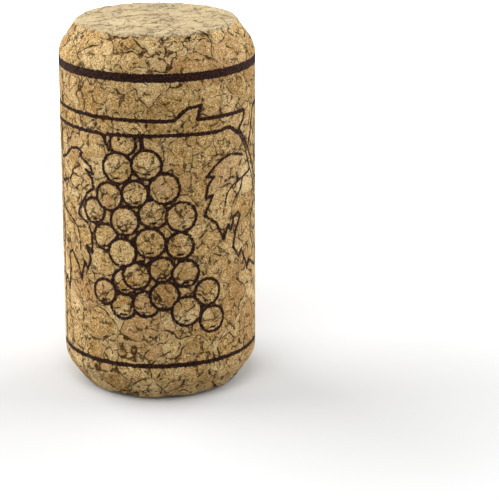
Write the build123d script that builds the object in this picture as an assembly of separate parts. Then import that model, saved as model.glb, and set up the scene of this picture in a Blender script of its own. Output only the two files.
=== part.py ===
from build123d import *
import math
import os

# Cork: overall sizes in millimetres
DIAMETER = 23.0
LENGTH = 44.0
CHAMFER_IN = 2.2
CHAMFER_ALONG = 3.1
RIM_BEVEL = 0.25
SHOULDER_BEVEL = 0.5

# Ends: hollows where granules broke out when the ends were ground
HOLLOW_CORNERS = 5
HOLLOW_FLATNESS = 0.75
HOLLOW_FLOOR = 0.5
HOLLOW_CROOKED = 0.15
LOWER_END_TURN = 140

# Print: ink film and the frame it is drawn in
INK = 0.05
FILM_FACETS = 44
TOP_RING_WIDTH = 1.05
BOTTOM_RING_WIDTH = 0.55
BORDER_WIDTH = 0.46
TOP_RING_DROP = 4.65
BOTTOM_RING_RISE = 4.95
PANEL_SHARE = 0.588
PANEL_LEFT_SHARE = 0.206

# Print: pen widths, and how finely curves are drawn
BRANCH_PEN = 0.48
STEM_PEN = 0.62
LEAF_PEN = 0.38
VEIN_PEN = 0.36
GRAPE_PEN = 0.44
CURVE_STEP = 1.0
GRAPE_CORNERS = 14
LEAST_MITRE = 0.62
OVERLAP = 0.1

# The drawing is wrapped straight inwards from a plane outside the cork
CLEARANCE = 0.2
WIDEST_TURN = 1.3

# The drawing sheet is laid out from border to border and from ring to ring
SHEET_WIDTH = 42.4
SHEET_BOTTOM = 4.95
SHEET_TOP = 39.35
SHEET_LEFT = -14.9
SHEET_RIGHT = SHEET_LEFT + SHEET_WIDTH
BRANCH_TOP = 34.45
BRANCH_FOOT = 32.6

RADIUS = DIAMETER / 2
ROUND_LENGTH = math.pi * DIAMETER
TOP_RING_HEIGHT = LENGTH - TOP_RING_DROP
PANEL_WIDTH = ROUND_LENGTH * PANEL_SHARE
PANEL_LEFT = -ROUND_LENGTH * PANEL_LEFT_SHARE
SHEET_ACROSS = PANEL_WIDTH / SHEET_WIDTH
SHEET_UP = (TOP_RING_HEIGHT - BOTTOM_RING_RISE) / (SHEET_TOP - SHEET_BOTTOM)


def round_the_side(x):
    """Distance round the side for a sheet distance x."""
    return PANEL_LEFT + (x - SHEET_LEFT) * SHEET_ACROSS


def up_the_side(y):
    """Height on the cork for a sheet height y."""
    return BOTTOM_RING_RISE + (y - SHEET_BOTTOM) * SHEET_UP


def facing_plane(x, depth):
    """Upright plane that faces outwards at sheet distance x, this far from the axis."""
    turn = round_the_side(x) / RADIUS
    outwards = Vector(math.sin(turn), -math.cos(turn), 0)
    sideways = Vector(math.cos(turn), math.sin(turn), 0)
    return Plane(origin=outwards * depth, x_dir=sideways, z_dir=outwards)


def flat_point(point, middle):
    """Sheet point seen flat from straight outside the middle line."""
    turn = (round_the_side(point[0]) - round_the_side(middle)) / RADIUS
    return (RADIUS * math.sin(turn), up_the_side(point[1]))


def sideways_at(points, index):
    """Push from a pen line's middle to its left edge at one point, for a half width of 1."""
    here = Vector(*points[index])
    before = Vector(*points[max(index - 1, 0)])
    after = Vector(*points[min(index + 1, len(points) - 1)])
    into = (here - before) if index > 0 else (after - here)
    out = (after - here) if index < len(points) - 1 else into
    into = into.normalized()
    out = out.normalized()
    along = (into + out).normalized()
    left_of_line = Vector(-along.Y, along.X)
    left_of_run = Vector(-into.Y, into.X)
    return left_of_line * (1 / max(left_of_line.dot(left_of_run), LEAST_MITRE))


def sharp_line(points, width, middle):
    """Pen line with pointed corners."""
    flat = [flat_point(point, middle) for point in points]
    left = []
    right = []
    for index, point in enumerate(flat):
        push = sideways_at(flat, index) * (width / 2)
        left.append((point[0] + push.X, point[1] + push.Y))
        right.append((point[0] - push.X, point[1] - push.Y))
    return make_face(Polyline(*left, *reversed(right), close=True))


def smooth_run(points):
    """Points on a smooth curve through the given ones, about one step apart."""
    run = [points[0]]
    for index in range(len(points) - 1):
        before = points[max(index - 1, 0)]
        start = points[index]
        end = points[index + 1]
        after = points[min(index + 2, len(points) - 1)]
        steps = max(1, round(math.dist(start, end) / CURVE_STEP))
        for step in range(1, steps + 1):
            t = step / steps
            place = []
            for k in range(2):
                pull_start = (end[k] - before[k]) / 2
                pull_end = (after[k] - start[k]) / 2
                place.append(
                    start[k] * (2 * t ** 3 - 3 * t ** 2 + 1) + pull_start * (t ** 3 - 2 * t ** 2 + t)
                    + end[k] * (3 * t ** 2 - 2 * t ** 3) + pull_end * (t ** 3 - t ** 2)
                )
            run.append(tuple(place))
    return run


def soft_line(points, width, middle):
    """Pen line that runs smoothly through its points."""
    return sharp_line(smooth_run(points), width, middle)


def straight_run(start, end, steps):
    """Points evenly spaced on a straight line of the sheet."""
    points = []
    for step in range(steps + 1):
        share = step / steps
        x = start[0] + (end[0] - start[0]) * share
        y = start[1] + (end[1] - start[1]) * share
        points.append((x, y))
    return points


def grape_disc(centre, radius, middle):
    """Filled outline of one grape."""
    points = []
    for corner in range(GRAPE_CORNERS):
        turn = 2 * math.pi * corner / GRAPE_CORNERS
        x = centre[0] + radius * math.cos(turn)
        y = centre[1] + radius * math.sin(turn)
        points.append(flat_point((x, y), middle))
    return make_face(Polyline(*points, close=True))


def side_film(bottom, top):
    """Thin sleeve of narrow flats that hugs the straight side between two heights."""
    outer = RegularPolygon(RADIUS + INK, FILM_FACETS, major_radius=False)
    inner = RegularPolygon(RADIUS, FILM_FACETS, major_radius=False)
    return Pos(0, 0, bottom) * extrude(outer - inner, amount=top - bottom)


def ink_on_side(drawing, middle, half_width):
    """Wrap a flat drawing on the side of the cork as a film of ink."""
    turn = min(half_width * SHEET_ACROSS / RADIUS, WIDEST_TURN)
    depth = RADIUS * math.cos(turn) - CLEARANCE
    reach = RADIUS + INK + CLEARANCE
    bar = extrude(facing_plane(middle, depth) * drawing, amount=reach - depth)
    return bar & side_film(0, LENGTH)


def on_the_end(turn, reach, upper):
    """Plane that lies on one end of the cork and faces outwards.

    The reach is 0 in the middle of the end face, 1 at its rim and 2 at the foot of the chamfer.
    """
    drop = max(reach - 1, 0)
    side = 1 if upper else -1
    sideways = Vector(math.cos(turn), math.sin(turn), 0)
    outwards = Vector(math.sin(turn), -math.cos(turn), 0)
    from_axis = (RADIUS - CHAMFER_IN) * min(reach, 1) + CHAMFER_IN * drop
    from_middle = LENGTH / 2 - CHAMFER_ALONG * drop
    origin = outwards * from_axis + Vector(0, 0, LENGTH / 2 + side * from_middle)
    facing = outwards * (CHAMFER_ALONG if reach > 1 else 0) + Vector(0, 0, side * CHAMFER_IN)
    return Plane(origin=origin, x_dir=sideways, z_dir=facing)


def hollow_outline(width, turn):
    """Crooked outline of a hollow."""
    points = []
    for corner in range(HOLLOW_CORNERS):
        angle = math.tau * corner / HOLLOW_CORNERS + turn
        reach = width / 2 * (1 + HOLLOW_CROOKED * math.sin(2 * angle + turn))
        points.append((reach * math.cos(angle), reach * HOLLOW_FLATNESS * math.sin(angle)))
    return make_face(Polyline(*points, close=True))


def hollow(turn, reach, width, depth, upper):
    """Pit with sloping walls and a flat floor, as a solid to cut away."""
    place = on_the_end(turn, reach, upper)
    floor = place * Pos(0, 0, -depth) * hollow_outline(width * HOLLOW_FLOOR, turn)
    mouth = place * Pos(0, 0, depth) * hollow_outline(width * (2 - HOLLOW_FLOOR), turn)
    return loft([floor, mouth], ruled=True)


def end_hollows():
    """The larger hollows of both ends."""
    # Turn in degrees from the front, reach, width and depth
    hollows = [
        (-153, 0.79, 1.5, 0.35), (-169, 0.47, 1.1, 0.25), (-56, 0.88, 1.6, 0.3), (-88, 0.67, 1.4, 0.25),
        (-112, 0.81, 1.3, 0.25), (56, 0.81, 1.4, 0.25), (-26, 0.66, 1.2, 0.2), (120, 0.74, 1.3, 0.25),
        (-41, 1.78, 1.6, 0.35), (-7, 1.12, 1.1, 0.35), (3, 1.6, 1.8, 0.3), (35, 1.12, 1.3, 0.35),
        (53, 1.59, 1.6, 0.35), (100, 1.45, 1.5, 0.3), (150, 1.72, 1.4, 0.3), (204, 1.2, 1.4, 0.35),
        (262, 1.62, 1.6, 0.3),
    ]
    cuts = []
    for turn, reach, width, depth in hollows:
        cuts.append(hollow(math.radians(turn), reach, width, depth, True))
        cuts.append(hollow(math.radians(turn + LOWER_END_TURN), reach, width, depth, False))
    return cuts


def cork_body():
    """Cork with a wide chamfer at both ends and the hollows of its ground ends."""
    outline = Polyline(
        (0, 0),
        (RADIUS - CHAMFER_IN, 0),
        (RADIUS, CHAMFER_ALONG),
        (RADIUS, LENGTH - CHAMFER_ALONG),
        (RADIUS - CHAMFER_IN, LENGTH),
        (0, LENGTH),
        close=True,
    )
    section = make_face(outline)
    shoulders = section.vertices().group_by(Axis.X)[-1]
    section = chamfer(shoulders, SHOULDER_BEVEL)
    rims = [vertex for vertex in section.vertices() if abs(vertex.X - RADIUS + CHAMFER_IN) < OVERLAP]
    section = chamfer(rims, RIM_BEVEL)
    return revolve(Plane.XZ * section, axis=Axis.Z) - end_hollows()


def ring_line(height, width):
    """Ink line all the way round the cork."""
    return side_film(height - width / 2, height + width / 2)


def border_line(x, bottom, top):
    """Upright ink line at one side of the panel."""
    drawing = Pos(0, (bottom + top) / 2) * Rectangle(BORDER_WIDTH, top - bottom)
    return ink_on_side(drawing, x, BORDER_WIDTH)


def frame_lines():
    """Rings and upright borders round the drawing."""
    foot = BOTTOM_RING_RISE + BOTTOM_RING_WIDTH / 2 - OVERLAP
    head = TOP_RING_HEIGHT - TOP_RING_WIDTH / 2 + OVERLAP
    lines = ring_line(TOP_RING_HEIGHT, TOP_RING_WIDTH)
    lines += ring_line(BOTTOM_RING_RISE, BOTTOM_RING_WIDTH)
    lines += border_line(SHEET_LEFT, foot, up_the_side(BRANCH_FOOT))
    lines += border_line(SHEET_RIGHT, foot, head)
    return lines


def branch():
    """Vine branch: two long lines, a spur on top and a cut at each end."""
    split = -3.0
    left_middle = -10.5
    cut_foot = (-17.3, BRANCH_FOOT)
    cut_head = (-18.2, BRANCH_TOP + 0.15)
    notch = [(-6.1, BRANCH_FOOT - 0.2), (-5.95, BRANCH_FOOT - 0.9), (-5.4, BRANCH_FOOT - 1.8)]
    upper_left = [cut_foot] + straight_run(cut_head, (split + OVERLAP, BRANCH_TOP), 6)
    lower_left = straight_run(cut_foot, (-6.6, BRANCH_FOOT), 4) + notch
    left = sharp_line(upper_left, BRANCH_PEN, left_middle)
    left += sharp_line(lower_left, BRANCH_PEN, left_middle)

    right_middle = 4.0
    # Sheet distance and rise over the branch's top, from the middle to the right end
    top = [
        (0.5, -0.05), (2.2, -0.05), (3.3, 0.95), (3.8, 1.3), (5.4, 1.5), (4.95, -0.1), (8.5, -0.15),
        (12.45, -0.2),
    ]
    # Sheet distance and rise over the branch's foot, along the cut and along the lower line
    cut = [(12.1, 0.6), (11.2, -0.3)]
    foot = [
        (-5.7, 0), (-3.0, 0.05), (0, 0.1), (3.5, 0.1), (7.2, 0), (9.1, 0.2), (10.05, -0.15), (11.0, -0.75),
    ]
    to_spur = (top[0][0], BRANCH_TOP + top[0][1])
    upper = straight_run((split, BRANCH_TOP), to_spur, 2)
    upper += [(x, BRANCH_TOP + rise) for x, rise in top[1:]]
    upper += [(x, BRANCH_FOOT + rise) for x, rise in cut]
    right = sharp_line(upper, BRANCH_PEN, right_middle)
    right += soft_line([(x, BRANCH_FOOT + rise) for x, rise in foot], BRANCH_PEN, right_middle)
    return ink_on_side(left, left_middle, 8.5) + ink_on_side(right, right_middle, 9.9)


def bunch():
    """Bunch of grapes: each grape hides what lies behind it."""
    middle = -0.9
    # Centre across, drop below the branch's foot, and radius, the grapes in front first
    grapes = [
        (-1.0, 3.3, 1.73), (-4.45, 3.85, 1.82), (-5.6, 7.35, 1.65), (-2.4, 6.75, 1.55),
        (2.95, 9.55, 1.76), (-3.7, 10.1, 1.7), (-0.7, 12.6, 1.78), (-4.05, 13.9, 1.68),
        (2.75, 13.0, 1.6), (1.0, 6.1, 1.8), (-0.3, 9.1, 1.7), (-7.75, 9.35, 1.5),
        (-6.15, 12.3, 1.6), (3.5, 21.0, 1.78), (6.7, 22.4, 1.6), (0.9, 19.0, 1.7),
        (6.1, 19.0, 1.62), (3.4, 16.4, 1.6), (0.6, 15.8, 1.5), (-2.35, 16.6, 1.62),
        (-1.75, 13.65, 1.6), (-3.75, 17.4, 1.55), (-6.45, 18.95, 1.5), (-1.3, 20.0, 1.55),
        (-4.0, 20.4, 1.55), (-3.75, 0.85, 1.55),
    ]
    low = BRANCH_FOOT + 0.1
    high = BRANCH_FOOT + 3.4
    behind_branch = [(-6, low), (3, low), (3, high), (-6, high)]
    hidden = make_face(Polyline(*[flat_point(p, middle) for p in behind_branch], close=True))
    drawing = Sketch()
    for across, drop, radius in grapes:
        centre = (across, BRANCH_FOOT - drop)
        disc = grape_disc(centre, radius + GRAPE_PEN / 2, middle)
        hole = grape_disc(centre, radius - GRAPE_PEN / 2, middle)
        drawing += (disc - hole) - hidden
        hidden += disc
    stem_points = [(-1.6, BRANCH_FOOT), (-1.5, BRANCH_FOOT - 0.7), (-1.5, BRANCH_FOOT - 1.6)]
    stem = sharp_line(stem_points, STEM_PEN, middle)
    return ink_on_side(drawing + stem, middle, 9.2)


def big_leaf():
    """Vine leaf at the right: toothed edge, double midrib and veins."""
    middle = 15.8
    edge = [
        (13.5, 29.7), (14.2, 31.6), (14.8, 33.8), (15.6, 34.3), (17.2, 34.3), (16.6, 33.3),
        (18.4, 33.95), (19.7, 33.5), (18.9, 32.8), (21.2, 32.7), (22.5, 31.6), (21.5, 31.6),
        (23.0, 30.9), (23.7, 29.1), (22.5, 29.6), (22.3, 28.9), (22.7, 28.35), (21.2, 28.5),
        (20.6, 28.0), (21.2, 27.3), (23.1, 27.5), (24.5, 26.8), (25.6, 25.0), (24.3, 25.4),
        (25.6, 23.9), (25.9, 22.8), (24.5, 23.2), (24.9, 21.5), (23.9, 22.1), (23.8, 20.7),
        (22.6, 22.3), (21.4, 22.3), (22.0, 21.3), (23.5, 20.1), (24.45, 18.0), (24.45, 17.1),
        (23.2, 17.6), (24.4, 15.4), (23.3, 15.8), (23.5, 14.5), (24.0, 13.3), (21.5, 14.8),
        (21.3, 13.8), (19.8, 15.5), (19.4, 14.5), (17.6, 16.1), (17.0, 17.0), (16.5, 16.8),
        (16.7, 14.6), (15.8, 14.5), (13.5, 15.8), (13.2, 14.9), (12.1, 16.8), (11.6, 17.7),
        (11.1, 16.8), (10.0, 18.3), (10.4, 19.9), (11.4, 21.8), (10.9, 22.3), (10.2, 22.0),
        (9.7, 20.4), (9.2, 21.2), (8.5, 19.5), (7.4, 21.7), (6.4, 22.4), (5.8, 22.9),
        (6.9, 25.2), (5.9, 24.8), (6.3, 26.4), (7.1, 27.3), (6.1, 27.4),
    ]
    shoulder = [(6.2, 27.5), (7.6, 28.8), (9.4, 29.5), (10.8, 29.3), (12.1, 28.95)]
    leaf_tip = (21.75, 16.15)
    rib_left = [
        (11.0, 31.85), (12.35, 30.2), (13.3, 28.1), (14.85, 25.35), (16.8, 22.5), (18.8, 20.0), leaf_tip,
    ]
    rib_right = [
        (11.2, 32.3), (12.85, 30.25), (14.2, 28.2), (15.7, 25.7), (17.95, 22.2), (19.6, 19.6), leaf_tip,
    ]
    veins = [
        [(15.0, 26.7), (15.8, 28.1), (15.5, 29.3), (15.5, 31.7)],
        [(15.8, 28.1), (17.1, 30.1), (19.0, 30.65), (20.7, 30.1)],
        [(15.8, 28.0), (17.0, 27.4), (18.3, 27.6)],
        [(15.8, 25.6), (17.2, 25.0), (20.0, 25.35), (22.0, 25.3), (23.7, 24.2)],
        [(14.0, 26.8), (11.3, 26.1), (9.2, 25.1), (8.4, 22.4)],
        [(11.4, 26.15), (10.0, 26.75), (8.7, 26.5)],
        [(11.9, 26.1), (11.5, 25.0), (10.5, 24.2)],
        [(16.3, 23.05), (14.7, 21.4), (14.1, 19.6), (14.75, 17.4)],
        [(18.9, 21.4), (19.4, 21.7), (20.0, 21.4)],
    ]
    drawing = sharp_line(edge, LEAF_PEN, middle)
    drawing += soft_line(shoulder, LEAF_PEN, middle)
    for line in [rib_left, rib_right] + veins:
        drawing += soft_line(line, VEIN_PEN, middle)
    return ink_on_side(drawing, middle, 10.6)


def tendril():
    """Curling tendril under the right-hand leaf."""
    middle = 18.6
    tail = [(20.3, 14.9), (20.45, 13.3), (20.2, 11.9), (19.0, 10.7), (17.7, 10.2)]
    loop = [(20.35, 12.3), (18.9, 13.6), (17.75, 13.2), (17.95, 12.2), (20.1, 12.0)]
    drawing = soft_line(tail, VEIN_PEN, middle) + soft_line(loop, VEIN_PEN, middle)
    return ink_on_side(drawing, middle, 3)


def small_leaf():
    """Vine leaf cut off by the left border."""
    middle = -11.3
    edge = [
        (-14.8, 28.2), (-13.3, 28.65), (-11.8, 29.9), (-10.4, 30.2), (-9.5, 29.8), (-10.0, 29.4),
        (-8.2, 28.4), (-7.75, 27.6), (-9.0, 27.9), (-8.0, 27.0), (-7.75, 25.9), (-8.8, 25.1),
        (-9.4, 24.2), (-10.4, 22.7), (-10.5, 22.2), (-8.8, 21.5), (-8.15, 20.2), (-8.15, 18.1),
        (-9.1, 18.8), (-8.45, 17.2), (-9.0, 15.9), (-9.5, 16.6), (-10.2, 14.4), (-10.7, 15.9),
        (-12.1, 17.4), (-13.0, 16.9), (-12.7, 15.0), (-13.3, 12.4), (-14.0, 13.8), (-14.8, 12.9),
    ]
    veins = [
        [(-14.8, 25.3), (-12.2, 26.2), (-11.4, 27.4), (-10.0, 28.2)],
        [(-11.7, 26.9), (-10.6, 26.9), (-9.0, 26.4)],
        [(-12.2, 25.9), (-11.5, 25.35), (-10.5, 25.2)],
        [(-14.8, 22.2), (-12.0, 21.3), (-10.6, 20.2), (-10.15, 17.9)],
    ]
    drawing = sharp_line(edge, LEAF_PEN, middle)
    for vein in veins:
        drawing += soft_line(vein, VEIN_PEN, middle)
    return ink_on_side(drawing, middle, 4)


def vine_print():
    """Branch, leaves, tendril and grapes in one film of ink."""
    return branch() + bunch() + big_leaf() + tendril() + small_leaf() - frame_lines()


os.makedirs("parts", exist_ok=True)
for name, solid in (
    ("cork_body", cork_body()),
    ("frame_lines", frame_lines()),
    ("vine_print", vine_print()),
):
    solid.label = name
    export_step(solid, "parts/" + name + ".step", write_pcurves=False)
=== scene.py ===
"""Wine cork standing on its end: granulated cork with a printed vine, leaves and grapes."""
import logging
import math
from dataclasses import dataclass, field
from enum import Enum
from typing import Any, Dict, List, Optional, Tuple

import bmesh
import bpy
import numpy as np
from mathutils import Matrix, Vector, noise


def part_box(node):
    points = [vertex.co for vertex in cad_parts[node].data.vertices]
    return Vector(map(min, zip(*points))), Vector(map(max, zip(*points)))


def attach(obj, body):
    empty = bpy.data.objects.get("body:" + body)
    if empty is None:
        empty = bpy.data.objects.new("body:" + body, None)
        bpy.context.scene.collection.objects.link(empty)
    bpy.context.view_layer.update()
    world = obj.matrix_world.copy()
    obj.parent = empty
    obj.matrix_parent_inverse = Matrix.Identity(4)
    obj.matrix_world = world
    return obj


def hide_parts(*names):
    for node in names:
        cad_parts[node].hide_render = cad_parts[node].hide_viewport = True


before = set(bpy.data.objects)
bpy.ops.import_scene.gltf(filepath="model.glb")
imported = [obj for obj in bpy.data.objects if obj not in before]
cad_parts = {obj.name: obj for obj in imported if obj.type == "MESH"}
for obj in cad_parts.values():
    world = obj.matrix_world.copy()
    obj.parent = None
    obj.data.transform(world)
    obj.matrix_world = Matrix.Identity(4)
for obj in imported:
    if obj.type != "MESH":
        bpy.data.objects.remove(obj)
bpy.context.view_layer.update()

logging.basicConfig(level=logging.INFO, format="%(message)s")
LOG = logging.getLogger("cork")

MM = 0.001
# no distance to the ink is given as more than this, in millimetres
FAR = 2.0

Point = Tuple[float, float]
Tree = bpy.types.NodeTree
Socket = bpy.types.NodeSocket
Sockets = Dict[str, Socket]

# settings that many nodes share
PLUS = {"operation": "ADD"}
TIMES = {"operation": "MULTIPLY"}
TIMES_PLUS = {"operation": "MULTIPLY_ADD"}
HIGHER = {"operation": "MAXIMUM"}
SMOOTH = {"interpolation_type": "SMOOTHSTEP"}
COLOURS = {"data_type": "RGBA"}

# the cork's own sizes in millimetres
LOWEST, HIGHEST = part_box("cork_body")
SIDE_RADIUS = round((HIGHEST.x - LOWEST.x) / 2 / MM, 2)
LENGTH = round((HIGHEST.z - LOWEST.z) / MM, 2)
CHAMFER_IN = 2.2
CHAMFER_ALONG = 3.1


def linear(hex_colour: str) -> Tuple[float, float, float, float]:
    """Turn an sRGB hex colour into linear RGBA.

    Args:
        hex_colour: six hex digits, with or without a leading hash.

    Returns:
        Linear red, green, blue and an alpha of one.
    """
    digits = hex_colour.lstrip("#")
    parts = []
    for start in (0, 2, 4):
        value = int(digits[start:start + 2], 16) / 255
        parts.append(value / 12.92 if value <= 0.04045 else ((value + 0.055) / 1.055) ** 2.4)
    return (parts[0], parts[1], parts[2], 1.0)


def add(tree: Tree, kind: str, settings: Optional[Dict[str, Any]] = None,
        **inputs: Any) -> bpy.types.Node:
    """Add one node with its settings, and fill or link its inputs.

    Args:
        tree: node tree of a material, a world or a geometry group.
        kind: Blender's type name of the node.
        settings: properties of the node, such as its operation.
        **inputs: socket name, or "_" and its number, against a value or another node's output.

    Returns:
        The new node.
    """
    node = tree.nodes.new(kind)
    for name, value in (settings or {}).items():
        setattr(node, name, value)
    for name, value in inputs.items():
        socket = node.inputs[int(name[1:])] if name[0] == "_" else node.inputs[name.replace("_", " ")]
        if isinstance(value, Socket):
            tree.links.new(value, socket)
        else:
            socket.default_value = value
    return node


class Pen(Enum):
    """Kinds of pen line on the print, each with its width in millimetres."""

    BRANCH = 0.46
    STEM = 0.62
    LEAF = 0.37
    VEIN = 0.33
    GRAPE = 0.38
    DASH = 0.26
    BORDER = 0.44


@dataclass
class Stroke:
    """One pen line through a few points of the drawing sheet.

    The sheet is measured in millimetres: across to the right of the line that faces the front,
    and up from the lower end of the cork.
    """

    points: List[Point]
    pen: Pen
    soft: bool = True
    thin_to: float = 1.0

    def run(self) -> List[Point]:
        """Points of the line, with a smooth curve through them where the line is soft."""
        if not self.soft:
            return self.points
        step_length = 0.35
        out = [self.points[0]]
        for index in range(len(self.points) - 1):
            before = self.points[max(index - 1, 0)]
            start = self.points[index]
            end = self.points[index + 1]
            after = self.points[min(index + 2, len(self.points) - 1)]
            steps = max(1, round(math.dist(start, end) / step_length))
            for step in range(1, steps + 1):
                t = step / steps
                weights = (2 * t ** 3 - 3 * t ** 2 + 1, t ** 3 - 2 * t ** 2 + t,
                           3 * t ** 2 - 2 * t ** 3, t ** 3 - t ** 2)
                place = [
                    start[k] * weights[0] + (end[k] - before[k]) / 2 * weights[1]
                    + end[k] * weights[2] + (after[k] - start[k]) / 2 * weights[3]
                    for k in range(2)
                ]
                out.append((place[0], place[1]))
        return out


@dataclass
class Grape:
    """One round grape of the bunch, with a short dash in its lower half."""

    across: float
    up: float
    radius: float
    dash: float = 0.7


@dataclass
class VinePrint:
    """The printed drawing: ring lines, borders, branch, leaves, tendril and grapes.

    Its method gap() gives how far each place on the side is from the nearest ink.
    """

    left: float = -14.9
    right: float = 27.5
    top_ring: Tuple[float, float] = (38.83, 39.87)
    bottom_ring: Tuple[float, float] = (4.68, 5.22)
    # the left border's place round the side, and how much the sheet stretches from there
    left_edge: float = -14.885
    across_scale: float = 1.00205
    branch_foot: float = 32.7
    # the dash of a grape lies this share of its radius below its middle, and bends up
    dash_drop: float = 0.66
    dash_bend: float = 0.3
    knot: Grape = field(default_factory=lambda: Grape(-3.75, 31.75, 1.55))
    # the grapes in front come first
    grapes: List[Grape] = field(default_factory=lambda: [
        Grape(-1.0, 29.3, 1.73), Grape(-4.45, 28.75, 1.82, 1.1), Grape(-5.6, 25.25, 1.65, 0.9),
        Grape(-2.4, 25.85, 1.55, 0.9), Grape(2.95, 23.05, 1.76), Grape(-3.7, 22.5, 1.7, 0.5),
        Grape(-0.7, 20.0, 1.78, 0.9), Grape(-4.05, 18.7, 1.68, 0.6), Grape(2.75, 19.6, 1.6),
        Grape(1.0, 26.5, 1.8, 0.8), Grape(-0.3, 23.5, 1.7, 0.6), Grape(-7.75, 23.25, 1.5, 0.5),
        Grape(-6.15, 20.3, 1.6), Grape(3.5, 11.6, 1.78), Grape(6.7, 10.2, 1.6),
        Grape(0.9, 13.6, 1.7), Grape(6.1, 13.6, 1.62), Grape(3.4, 16.2, 1.6),
        Grape(0.6, 16.8, 1.5), Grape(-2.35, 16.0, 1.62), Grape(-1.75, 18.95, 1.6),
        Grape(-3.75, 15.2, 1.55), Grape(-6.45, 13.65, 1.5), Grape(-1.3, 12.6, 1.55),
        Grape(-4.0, 12.2, 1.55),
    ])

    def strokes(self) -> List[Stroke]:
        """Every pen line of the drawing except rings and grapes."""
        return self.border() + self.branch() + self.big_leaf() + self.small_leaf()

    def border(self) -> List[Stroke]:
        """Upright lines at the left and right of the drawing."""
        lap = 0.2
        low = self.bottom_ring[0] + lap
        high = self.top_ring[1] - lap
        return [
            Stroke([(self.left, low), (self.left, self.branch_foot - 0.1)], Pen.BORDER, soft=False),
            Stroke([(self.right, low), (self.right, high)], Pen.BORDER, soft=False),
        ]

    def branch(self) -> List[Stroke]:
        """Branch under the top ring, a cut at each end, a spur, and the stalk of the bunch."""
        upper = [(-17.3, 32.6), (-18.2, 34.6), (-8.0, 34.5), (0.5, 34.4), (2.2, 34.4), (3.3, 35.4),
                 (3.8, 35.75), (5.4, 35.95), (4.95, 34.35), (8.5, 34.3), (12.45, 34.25),
                 (12.1, 33.2), (11.2, 32.3)]
        lower_left = [(-17.3, 32.6), (-6.6, 32.6), (-6.1, 32.4), (-5.95, 31.7), (-5.4, 30.8)]
        lower_right = [(-5.7, 32.6), (-3.0, 32.65), (0.0, 32.7), (3.5, 32.7), (7.2, 32.6),
                       (9.1, 32.8), (10.05, 32.45), (11.0, 31.85)]
        return [
            Stroke(upper, Pen.BRANCH, soft=False),
            Stroke(lower_left, Pen.BRANCH, soft=False),
            Stroke(lower_right, Pen.BRANCH),
            Stroke([(-1.6, 32.6), (-1.5, 31.9), (-1.5, 31.0)], Pen.STEM, thin_to=0.8),
            Stroke([(-1.8, 33.2), (-1.65, 32.6)], Pen.DASH),
            Stroke([(-4.25, 33.3), (-4.2, 32.1)], Pen.DASH),
        ]

    def big_leaf(self) -> List[Stroke]:
        """Vine leaf at the right with a double midrib, veins and a tendril."""
        edge = [
            (13.5, 29.7), (14.2, 31.6), (14.8, 33.8), (15.6, 34.3), (17.2, 34.3), (16.6, 33.3),
            (18.4, 33.95), (19.7, 33.5), (18.9, 32.8), (21.2, 32.7), (22.5, 31.6), (21.5, 31.6),
            (23.0, 30.9), (23.7, 29.1), (22.5, 29.6), (22.3, 28.9), (22.7, 28.35), (21.2, 28.5),
            (20.6, 28.0), (21.2, 27.3), (23.1, 27.5), (24.5, 26.8), (25.6, 25.0), (24.3, 25.4),
            (25.6, 23.9), (25.9, 22.8), (24.5, 23.2), (24.9, 21.5), (23.9, 22.1), (23.8, 20.7),
            (22.6, 22.3), (21.4, 22.3), (22.0, 21.3), (23.5, 20.1), (24.45, 18.0), (24.45, 17.1),
            (23.2, 17.6), (24.4, 15.4), (23.3, 15.8), (23.5, 14.5), (24.0, 13.3), (21.5, 14.8),
            (21.3, 13.8), (19.8, 15.5), (19.4, 14.5), (17.6, 16.1), (17.0, 17.0), (16.5, 16.8),
            (16.7, 14.6), (15.8, 14.5), (13.5, 15.8), (13.2, 14.9), (12.1, 16.8), (11.6, 17.7),
            (11.1, 16.8), (10.0, 18.3), (10.4, 19.9), (11.4, 21.8), (10.9, 22.3), (10.2, 22.0),
            (9.7, 20.4), (9.2, 21.2), (8.5, 19.5), (7.4, 21.7), (6.4, 22.4), (5.8, 22.9),
            (6.9, 25.2), (5.9, 24.8), (6.3, 26.4), (7.1, 27.3), (6.1, 27.4),
        ]
        soft = [
            ([(6.2, 27.5), (7.6, 28.8), (9.4, 29.5), (10.8, 29.3), (12.1, 28.95)], 1.0),
            ([(11.0, 31.85), (12.35, 30.2), (13.3, 28.1), (14.85, 25.35), (16.8, 22.5),
              (18.8, 20.0), (21.75, 16.15)], 0.8),
            ([(11.2, 32.3), (12.85, 30.25), (14.2, 28.2), (15.7, 25.7), (17.95, 22.2),
              (19.6, 19.6), (21.75, 16.15)], 0.8),
            ([(15.0, 26.7), (15.8, 28.1), (15.5, 29.3), (15.5, 31.7)], 0.8),
            ([(15.8, 28.1), (17.1, 30.1), (19.0, 30.65), (20.7, 30.1)], 0.6),
            ([(15.8, 28.0), (17.0, 27.4), (18.3, 27.6)], 0.7),
            ([(15.8, 25.6), (17.2, 25.0), (20.0, 25.35), (22.0, 25.3), (23.7, 24.2)], 0.6),
            ([(14.0, 26.8), (11.3, 26.1), (9.2, 25.1), (8.4, 22.4)], 0.6),
            ([(11.4, 26.15), (10.0, 26.75), (8.7, 26.5)], 0.7),
            ([(11.9, 26.1), (11.5, 25.0), (10.5, 24.2)], 0.7),
            ([(16.3, 23.05), (14.7, 21.4), (14.1, 19.6), (14.75, 17.4)], 0.8),
            ([(18.9, 21.4), (19.4, 21.7), (20.0, 21.4)], 0.8),
            ([(20.3, 14.9), (20.45, 13.3), (20.2, 11.9), (19.0, 10.7), (17.7, 10.2)], 0.8),
            ([(20.35, 12.3), (18.9, 13.6), (17.75, 13.2), (17.95, 12.2), (20.1, 12.0)], 0.8),
        ]
        return [Stroke(edge, Pen.LEAF, soft=False)] + [
            Stroke(points, Pen.VEIN, thin_to=share) for points, share in soft
        ]

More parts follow.
